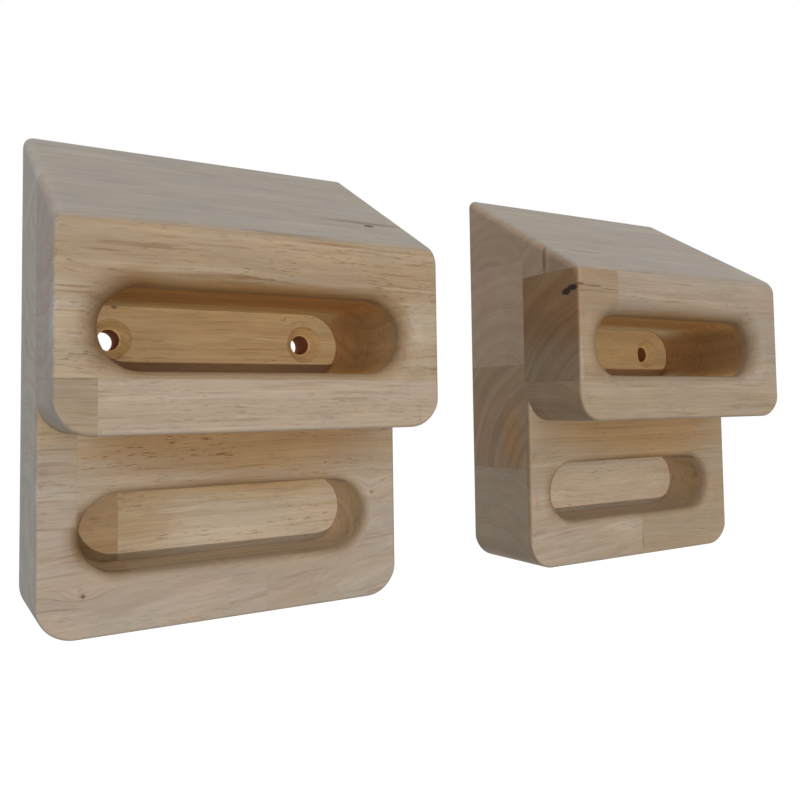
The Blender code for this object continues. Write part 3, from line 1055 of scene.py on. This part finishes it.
LEFT_WOODS = {
    "back_foot_stave_end": Wood(
        shade(GOLD, (0.88, 0.82, 0.78)),
        END_PALE_GREY,
        (0, -60, 60),
        streaks=0.7,
        pores=0.8,
        clouds=0.4,
    ),
    "back_foot_stave": Wood(
        shade(CREAM, (1.16, 1.20, 1.22)),
        END_PALE_GREY,
        (0, 10, -30),
        pores=0.7,
        marks=(
            # Painted shade with warm bounce light at the top of the lower pocket's back wall, under
            # its ceiling
            stain_and_painted_light((0.85, 0.65, 0.36), 1.0, (85, -20, 59), (110, 9, 20), 0.8, 0.4),
            stain_and_painted_light((0.87, 0.77, 0.62), 1.0, (38, -20, 36), (34, 9, 34), 0.9, 0.6),
        ),
    ),
    "back_middle_stave": Wood(
        TAN,
        END_PALE_GREY,
        (0, -20, 20),
        # Painted warm bounce light in the lower lip's cast shadow along the foot of the upper back
        # wall
        marks=(stain_and_painted_light((0.96, 0.81, 0.65), 1.0, (75, -21, 101), (66, 8, 14), 0.1, 0.0),),
    ),
    "back_pocket_stave": Wood(
        shade(GOLD, (1.07, 1.07, 1.0)),
        END_PALE_GREY,
        (0, -70, 190),
        streaks=0.8,
        grain_lines=1.0,
        pores=0.9,
        marks=(
            # Painted light at the top of the upper pocket's back wall, lifting the shade under its
            # ceiling
            stain_and_painted_light((1.14, 1.12, 1.10), 1.0, (75, -20.5, 129), (80, 4, 9)),
            spot(DARK_BROWN, 0.9, (32.8, -20.5, 127.0), (1.6, 2, 0.9)),
        ),
    ),
    "back_ridge_stave": Wood(GREYED, END_PALE_GREY, (0, -60, 90), **FAINTEST),
    "front_foot_stave_end": Wood(
        shade(PALE, (0.92, 0.93, 0.96)),
        END_MAUVE,
        (0, 30, -10),
        lean=0.08,
        wander=7,
        pores=0.3,
        knots=(knot((16, -49, 16), (9, 20, 4), 4),),
        marks=(
            LOWER_LEFT_LIP_PAINTED_SHADE,
            spot(RED_BROWN, 0.3, (16, -49, 16), (2.2, 6, 1.8), 0.8),
            spot(DARK_BROWN, 0.95, (16.3, -49, 15.8), (1.1, 5, 1.0)),
        ),
    ),
    "front_foot_stave": Wood(
        shade(PALE, (0.92, 0.94, 0.97)),
        END_MAUVE,
        (0, 40, 0),
        lean=0.14,
        wander=7,
        pores=0.3,
    ),
    "front_middle_stave_end": Wood(
        shade(TAN, (0.93, 0.94, 0.97)),
        END_MAUVE,
        (0, -60, 40),
        grain_lines=0.8,
        streaks=0.4,
        marks=(
            stain_and_painted_light((0.86, 0.86, 0.84), 1.0, (7, -87, 86), (20, 12, 12)),
            stain_and_painted_light((1.16, 1.24, 1.40), 1.0, (7, -49, 50), (14, 12, 22)),
            # Darker and more golden under the upper tier: partly the wood's golden band, partly
            # painted shade under the overhang
            stain_and_painted_light((0.92, 0.80, 0.62), 1.0, (80, -45, 76), (140, 24, 19), 0.7),
            LOWER_CORNER,
        ),
    ),
    "front_middle_stave": Wood(
        PALE,
        END_MAUVE,
        (0, -60, 10),
        pores=0.5,
        porous_place=region((80, -49, 68), (120, 12, 14), 0.7, 0.8),
        knots=(knot((138, -49, 46), (9, 20, 6), 5),),
        marks=(
            # Darker and more golden under the upper tier: partly the wood's golden band, partly
            # painted shade under the overhang
            stain_and_painted_light((0.89, 0.71, 0.46), 1.0, (80, -45, 70), (110, 24, 20), 0.7),
            LOWER_CORNER,
            LOWER_LEFT_LIP_PAINTED_SHADE,
            LOWER_TOP_LIP_PAINTED_SHADE,
            spot(DARK_BROWN, 0.5, (138, -49, 46), (1.5, 5, 1.1)),
        ),
    ),
    "front_pocket_stave": Wood(
        shade(TAN, (1.0, 0.98, 0.95)),
        END_MAUVE,
        (0, -60, 210),
        wander=6,
        bands=0.5,
        streaks=0.6,
        grain_lines=0.9,
        pores=0.7,
        marks=(
            UPPER_LEFT_LIP_PAINTED_SHADE,
            UPPER_TOP_LIP_PAINTED_SHADE,
            # Painted shade on the top-left of the upper pocket's lip
            stain_and_painted_light((0.82, 0.68, 0.50), 1.0, (25, -82, 129), (20, 9, 8), 0.9, 0.2),
            stain_and_painted_light((1.17, 1.27, 1.42), 0.9, (2, -87, 113), (16, 14, 22)),
            stain_and_painted_light((1.11, 1.20, 1.33), 0.9, (144, -87, 113), (12, 14, 24)),
            stain_and_painted_light((0.72, 0.62, 0.50), 0.9, (104, -86, 147.6), (22, 4, 0.9)),
        ),
    ),
    "front_nose_stave": Wood(
        GREYED,
        END_MAUVE,
        (0, -90, 110),
        **FAINTEST,
        marks=(
            stain_and_painted_light((1.03, 0.90, 0.70), 0.9, (75, -88, 149), (110, 5, 5), 0.6),
            stain_and_painted_light((0.60, 0.48, 0.40), 0.9, (128, -62.8, 163.8), (32, 2.4, 1.7), 0.8, 0.6),
            spot(BLACK_BROWN, 1.0, (129, -65.8, 162.1), (2.9, 1.6, 1.6), 0.4, 0.5),
            stain_and_painted_light((1.12, 1.12, 1.12), 0.9, (95, -73, 157.9), (60, 3, 2)),
        ),
    ),
}

RIGHT_WOODS = {
    "back_foot_stave": Wood(
        shade(CREAM, 1.08),
        shade(END_TAN, (1.02, 1.10, 1.18)),
        (0, -10, -40),
        wander=8,
        end_bands=0.25,
    ),
    "back_middle_stave": Wood(
        TAN,
        shade(END_TAN, (0.96, 0.93, 0.86)),
        (0, -64, 44),
        ring_width=7,
        end_bands=0.6,
        marks=(
            # Painted warm bounce light in the lower lip's cast shadow along the foot of the upper
            # back wall
            stain_and_painted_light((1.05, 0.84, 0.65), 1.0, (75, -21, 101), (66, 8, 14), 0.1, 0.0),
            stain_and_painted_light((1.15, 0.90, 0.62), 0.8, (0, -34, 66), (5, 9, 22), 0.8, 1.2),
        ),
    ),
    "back_pocket_stave": Wood(
        shade(GOLD, (0.945, 0.90, 0.78)),
        shade(END_TAN, (1.1, 1.11, 1.13)),
        (0, -28.8, 89.4),
        end_bands=0.33,
    ),
    "back_ridge_stave": Wood(
        GREYED,
        shade(END_TAN, 0.96),
        (0, -20, 140),
        **FAINT,
        end_bands=0.35,
    ),
    "front_foot_stave_end": Wood(
        shade(PALE, 0.9),
        END_TAN,
        (0, 20, -20),
        lean=0.1,
        wander=7,
        pores=0.3,
        marks=(
            LOWER_LEFT_LIP_PAINTED_SHADE,
            stain_and_painted_light((1.10, 1.12, 1.14), 1.0, (62, -49, 17), (18, 5, 6)),
            spot(ORANGE, 0.5, (4, -49, 33.5), (1.6, 4, 4.5), 0.8, 0.8),
            spot(ORANGE, 0.5, (10, -49, 25), (3.5, 4, 1.3), 0.8, 0.8),
        ),
    ),
    "front_foot_stave": Wood(
        shade(TAN, 0.9),
        END_TAN,
        (0, 30, 60),
        lean=-0.05,
        pores=0.3,
        marks=(spot(DARK_BROWN, 0.6, (79.3, -49, 8), (0.5, 3, 6.5), 0.6, 0.6),),
    ),
    "front_middle_stave": Wood(
        shade(PALE, (0.84, 0.82, 0.77)),
        shade(END_TAN, (0.88, 0.85, 0.79)),
        (0, -50, 20),
        pores=0.4,
        marks=(
            # More golden under the upper tier: partly the wood's golden band, partly painted warm
            # shade under the overhang
            stain_and_painted_light((1.06, 0.88, 0.60), 1.0, (80, -45, 68), (100, 24, 22), 0.7),
            LOWER_LEFT_LIP_PAINTED_SHADE,
            LOWER_TOP_LIP_PAINTED_SHADE,
            # Painted shade with orange reflected light on the rounding under the upper tier, at the
            # left side
            spot(RED_BROWN, 0.5, (0, -53, 80.5), (5, 6, 2.2), 0.8, 0.8),
            spot(DARK_BROWN, 0.6, (0, -64, 80), (4, 10, 1.3), 0.6, 2.4),
        ),
    ),
    "front_pocket_stave_end": Wood(
        shade(TAN, (0.84, 0.79, 0.75)),
        shade(END_BROWN, (0.94, 0.92, 0.86)),
        (0, -110, 60),
        ring_width=7,
        end_bands=0.6,
        marks=(
            stain_and_painted_light((1.09, 1.43, 2.00), 1.0, (0, -66, 95), (4, 60, 28), 0.7, 0.3),
            stain_and_painted_light((0.88, 0.91, 0.96), 1.0, (0, -60, 123), (4, 34, 11), 0.8, 0.6),
            stain_and_painted_light((1.05, 1.12, 1.16), 1.0, (0, -66, 150), (4, 60, 14), 0.6, 0.4),
            UPPER_LEFT_LIP_PAINTED_SHADE,
            stain_and_painted_light((1.12, 1.15, 1.16), 1.0, (6, -87, 112), (9, 3, 20), 0.7, 0.3),
            spot(RED_BROWN, 0.6, (0, -79.5, 138.4), (5, 9, 3.6), 0.8, 0.6),
            spot(BLACK_BROWN, 1.0, (0, -78.6, 138.0), (5, 3.6, 2.0), 0.4, 0.6),
            spot(BLACK_BROWN, 1.0, (0, -82.6, 139.5), (5, 4.6, 1.8), 0.4, 0.6),
            spot(DARK_BROWN, 0.9, (1, -86.5, 140.9), (4, 3, 1.0), 0.6, 0.4),
            spot(DARK_BROWN, 0.8, (10, -87, 140.4), (8, 3, 0.6), 0.7, 0.8),
            spot(DARK_BROWN, 0.6, (21, -87, 139.2), (8, 3, 0.5), 0.7, 0.8),
        ),
    ),
    "front_pocket_stave": Wood(
        shade(PALE, (0.84, 0.85, 0.86)),
        END_TAN,
        (0, -50, 200),
        bands=0.5,
        pores=0.4,
        marks=(UPPER_TOP_LIP_PAINTED_SHADE,),
    ),
    "front_nose_inner_stave": Wood(
        GREYED,
        shade(END_TAN, 0.95),
        (0, -30, 190),
        **FAINT,
        marks=(stain_and_painted_light((0.55, 0.42, 0.32), 0.9, (0, -63.2, 156), (3, 2.2, 13), 0.8, 0.8),),
    ),
    "front_nose_stave": Wood(
        GREYED,
        shade(END_TAN, 0.80),
        (0, -90, 120),
        **FAINT,
        marks=(stain_and_painted_light((0.60, 0.50, 0.42), 0.8, (24, -67.1, 161.3), (18, 2.0, 1.3), 0.8, 0.8),),
    ),
}


def block_place(nodes, block):
    """A point's place in its block, in millimetres from the block's corner."""
    point = nodes.add("TexCoord").outputs["Object"]
    from_corner = nodes.vector("SUBTRACT", point, tuple(block.corner))
    return nodes.scaled(from_corner, 1 / MM)


def stave_material(name, block, seed, wood, groups):
    """A stave's own wood: rubberwood with its figure, its knots and its marks."""
    material = bpy.data.materials.new(name)
    material.use_nodes = True
    tree = material.node_tree
    shader = tree.nodes["Principled BSDF"]
    nodes = Nodes(tree)
    place = block_place(nodes, block)
    tier = "lower" if "foot" in name or "front_middle" in name else "upper"
    inputs = {
        "Place": place,
        "Seed": seed,
        "Pocket Middle": (block.width / 2 / MM, 0, block.pocket_heights[tier] / MM),
        "Lip Start": block.lip_starts[tier] / MM,
        **dict(zip(POCKET_WALL_TONES_AND_PAINTED_LIGHT, POCKET_TONES_AND_PAINTED_LIGHT[block.side, tier])),
        **wood.inputs,
    }
    if wood.porous_place:
        more = nodes.use(groups["spot"], {"Place": place, **wood.porous_place})["Mask"]
        inputs["Pores"] = nodes.math("ADD", more, inputs["Pores"])
    for one in wood.knots:
        swirl = nodes.use(groups["knot"], {"Place": place, **one})["Swirl"]
        inputs["Swirl"] = nodes.math("ADD", swirl, inputs.get("Swirl", 0))
    surface = nodes.use(groups["rubberwood"], inputs)
    colour = surface["Color"]
    for way, tone, strength, where in wood.marks:
        mask = nodes.use(groups["spot"], {"Place": place, **where})["Mask"]
        colour = nodes.mixed(nodes.math("MULTIPLY", mask, strength), colour, tone, way)
    relief = {"Height": surface["Height"], "Strength": BUMP_STRENGTH, "Distance": BUMP_DEPTH}
    bump = nodes.add("Bump", relief)
    nodes.feed(shader.inputs["Base Color"], colour)
    nodes.feed(shader.inputs["Roughness"], surface["Roughness"])
    nodes.feed(shader.inputs["Normal"], bump.outputs["Normal"])
    shader.inputs["Specular IOR Level"].default_value = WOOD_GLOSS
    return material


# Assembly


def make_groups():
    return {
        "rubberwood": make_rubberwood_group(),
        "spot": make_spot_group(),
        "knot": make_knot_group(),
    }


def dress_block(block, woods, groups, first_seed):
    envelope, hollows = block_tools(block)
    for seed, (piece, wood) in enumerate(woods.items(), first_seed):
        node = block.side + "_" + piece
        stave = fine_stave(node, envelope, hollows)
        stave.data.materials.clear()
        stave.data.materials.append(stave_material(node, block, seed, wood, groups))
        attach(stave, "root")
        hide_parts(node)
    for tool in [envelope, *hollows]:
        bpy.data.objects.remove(tool)


bpy.context.scene.view_settings.view_transform = "Standard"
make_camera()
make_lights()
make_sky()
make_floor()
wood_groups = make_groups()
for side, woods, first_seed in (("left", LEFT_WOODS, 1), ("right", RIGHT_WOODS, 31)):
    dress_block(Block(side), woods, wood_groups, first_seed)
